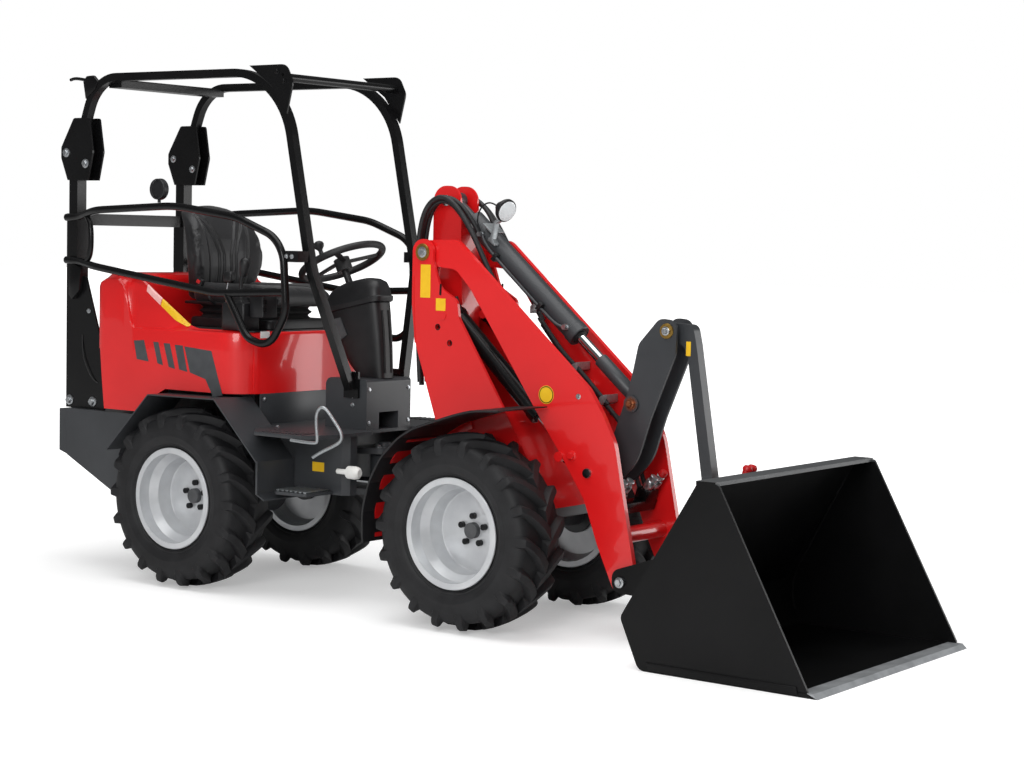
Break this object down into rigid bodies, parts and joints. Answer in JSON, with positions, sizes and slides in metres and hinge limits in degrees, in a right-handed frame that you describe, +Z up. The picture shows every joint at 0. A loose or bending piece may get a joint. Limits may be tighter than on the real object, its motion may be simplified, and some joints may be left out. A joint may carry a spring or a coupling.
{
  "type": "wheel loader",
  "caption": "Compact articulated wheel loader with a lifting boom, tilting bucket, roll-over frame with side guards, open driver seat and steering wheel.",
  "frame": {"origin": "on the ground, midway along the machine and across it", "axes": "+X forwards to the bucket, +Y to the machine's left, +Z up"},
  "size_m": [3.957, 1.172, 2.185],
  "materials": {
    "red_paint": "gloss",
    "anthracite_paint": "satin",
    "frame_black": "satin",
    "bucket_black": "satin",
    "rim_silver": "satin",
    "tyre_rubber": "matt",
    "bright_rod": "polished",
    "bare_steel": "machined",
    "cast_block": "cast",
    "black_plastic": "textured",
    "seat_vinyl": "grained",
    "lamp_plastic": "moulded"
  },
  "bodies": {
    "rear_frame": {"rear_chassis": "anthracite_paint", "tail_weight": "anthracite_paint", "rear_bumper": "anthracite_paint", "tow_hitch": "bare_steel", "engine_block": "cast_block", "hood": "red_paint", "seat_console": "red_paint", "pedestal": "anthracite_paint", "floorboards": "anthracite_paint", "side_tanks": "anthracite_paint", "low_steps": "bare_steel", "rear_mudguards": "anthracite_paint", "rops_posts": "frame_black", "rops_hoops": "frame_black", "rops_gussets": "frame_black", "rops_cross_members": "frame_black", "side_guards": "frame_black", "seat_base": "black_plastic", "seat_cushion": "seat_vinyl", "seat_backrest": "seat_vinyl", "steering_column": "black_plastic", "control_console": "black_plastic", "rear_work_lamp": "lamp_plastic", "rear_axle": "anthracite_paint"},
    "front_frame": {"front_axle": "anthracite_paint", "front_chassis": "anthracite_paint", "mast": "red_paint", "front_mudguards": "black_plastic"},
    "boom": {"boom": "red_paint"},
    "lever_shaft": {"lever_shaft": "bare_steel"},
    "tilt_lever": {"tilt_lever": "anthracite_paint"},
    "link_shaft": {"link_shaft": "bare_steel"},
    "tilt_link": {"tilt_link": "anthracite_paint"},
    "lift_cases": {"lift_ram_cases": "frame_black"},
    "lift_rods": {"lift_ram_rods": "bright_rod"},
    "tilt_case": {"tilt_ram_case": "frame_black"},
    "tilt_rod": {"tilt_ram_rod": "bright_rod"},
    "steering_case": {"steering_ram_case": "frame_black"},
    "steering_rod": {"steering_ram_rod": "bright_rod"},
    "bucket_pivot": {"bucket_pivot_shaft": "bare_steel"},
    "bucket_tool": {"bucket_carrier": "bucket_black", "bucket": "bucket_black"},
    "engine_lid": {"engine_lid": "red_paint"},
    "steering_wheel": {"steering_wheel": "black_plastic"},
    "front_left_wheel": {"wheel_front_left": "rim_silver", "tyre_front_left": "tyre_rubber"},
    "front_right_wheel": {"wheel_front_right": "rim_silver", "tyre_front_right": "tyre_rubber"},
    "rear_left_wheel": {"wheel_rear_left": "rim_silver", "tyre_rear_left": "tyre_rubber"},
    "rear_right_wheel": {"wheel_rear_right": "rim_silver", "tyre_rear_right": "tyre_rubber"}
  },
  "joints": [
    {"name": "articulation", "type": "hinge", "parent": "rear_frame", "child": "front_frame", "pos_m": [-0.3835, 0, 0.52], "axis": [0, 0, 1], "range_deg": [-40, 40]},
    {"name": "front_left_wheel_spin", "type": "hinge", "parent": "front_frame", "child": "front_left_wheel", "pos_m": [0.3615, 0.382, 0.38], "axis": [0, 1, 0], "continuous": true},
    {"name": "front_right_wheel_spin", "type": "hinge", "parent": "front_frame", "child": "front_right_wheel", "pos_m": [0.3615, -0.382, 0.38], "axis": [0, 1, 0], "continuous": true},
    {"name": "rear_left_wheel_spin", "type": "hinge", "parent": "rear_frame", "child": "rear_left_wheel", "pos_m": [-1.1285, 0.382, 0.38], "axis": [0, 1, 0], "continuous": true},
    {"name": "rear_right_wheel_spin", "type": "hinge", "parent": "rear_frame", "child": "rear_right_wheel", "pos_m": [-1.1285, -0.382, 0.38], "axis": [0, 1, 0], "continuous": true},
    {"name": "engine_lid_hinge", "type": "hinge", "parent": "rear_frame", "child": "engine_lid", "pos_m": [-1.6835, 0, 1.262], "axis": [0, 1, 0], "range_deg": [0, 70]},
    {"name": "steering_wheel_turn", "type": "hinge", "parent": "rear_frame", "child": "steering_wheel", "pos_m": [-0.6335, 0, 1.385], "axis": [-0.4384, 0, 0.8988], "continuous": true},
    {"name": "lift", "type": "hinge", "parent": "front_frame", "child": "boom", "pos_m": [-0.0335, 0, 1.437], "axis": [0, -1, 0], "range_deg": [0, 100]},
    {"name": "lift_case_swing", "type": "hinge", "parent": "front_frame", "child": "lift_cases", "pos_m": [0.0715, 0, 1.19], "axis": [0, -1, 0], "range_deg": [0, 106]},
    {"name": "lift_rod_slide", "type": "slide", "parent": "lift_cases", "child": "lift_rods", "axis": [0.7378, 0, -0.6751], "range_m": [0, 0.404]},
    {"name": "bucket_level", "type": "hinge", "parent": "boom", "child": "bucket_pivot", "pos_m": [0.9425, 0, 0.227], "axis": [0, -1, 0], "range_deg": [-90.1, 0]},
    {"name": "tilt", "type": "hinge", "parent": "bucket_pivot", "child": "bucket_tool", "pos_m": [0.9425, 0, 0.227], "axis": [0, -1, 0], "range_deg": [-42, 42]},
    {"name": "lever_level", "type": "hinge", "parent": "boom", "child": "lever_shaft", "pos_m": [0.7665, 0, 0.62], "axis": [0, -1, 0], "range_deg": [-66.9, 0]},
    {"name": "lever_swing", "type": "hinge", "parent": "lever_shaft", "child": "tilt_lever", "pos_m": [0.7665, 0, 0.62], "axis": [0, -1, 0], "range_deg": [-33, 33]},
    {"name": "link_level", "type": "hinge", "parent": "tilt_lever", "child": "link_shaft", "pos_m": [1.0265, 0, 1.165], "axis": [0, -1, 0], "range_deg": [0, 42.45]},
    {"name": "link_swing", "type": "hinge", "parent": "link_shaft", "child": "tilt_link", "pos_m": [1.0265, 0, 1.165], "axis": [0, -1, 0], "range_deg": [-24, 24]},
    {"name": "tilt_case_swing", "type": "hinge", "parent": "front_frame", "child": "tilt_case", "pos_m": [-0.0285, 0, 1.645], "axis": [0, -1, 0], "range_deg": [0, 100]},
    {"name": "tilt_rod_slide", "type": "slide", "parent": "tilt_case", "child": "tilt_rod", "axis": [0.7657, 0, -0.6433], "range_m": [-0.135, 0.135]},
    {"name": "steering_case_swing", "type": "hinge", "parent": "rear_frame", "child": "steering_case", "pos_m": [-0.7435, -0.15, 0.497], "axis": [0, 0, 1], "range_deg": [-7.1, 7.1]},
    {"name": "steering_rod_slide", "type": "slide", "parent": "steering_case", "child": "steering_rod", "axis": [1, 0, 0], "range_m": [-0.11, 0.11]}
  ],
  "couplings": [
    {"joint": "lift_case_swing", "follows": "lift", "ratio": 1.054},
    {"joint": "lift_rod_slide", "follows": "lift", "m_per_rad": 0.23},
    {"joint": "bucket_level", "follows": "lift", "ratio": -0.9},
    {"joint": "lever_level", "follows": "lift", "ratio": -0.668},
    {"joint": "lever_swing", "follows": "tilt", "ratio": 0.751},
    {"joint": "link_level", "follows": "lift", "ratio": 0.4237},
    {"joint": "link_swing", "follows": "tilt", "ratio": -0.5175},
    {"joint": "tilt_case_swing", "follows": "lift", "ratio": 0.984},
    {"joint": "tilt_rod_slide", "follows": "tilt", "m_per_rad": -0.1764},
    {"joint": "steering_case_swing", "follows": "articulation", "ratio": 0.1735},
    {"joint": "steering_rod_slide", "follows": "articulation", "m_per_rad": 0.145}
  ]
}
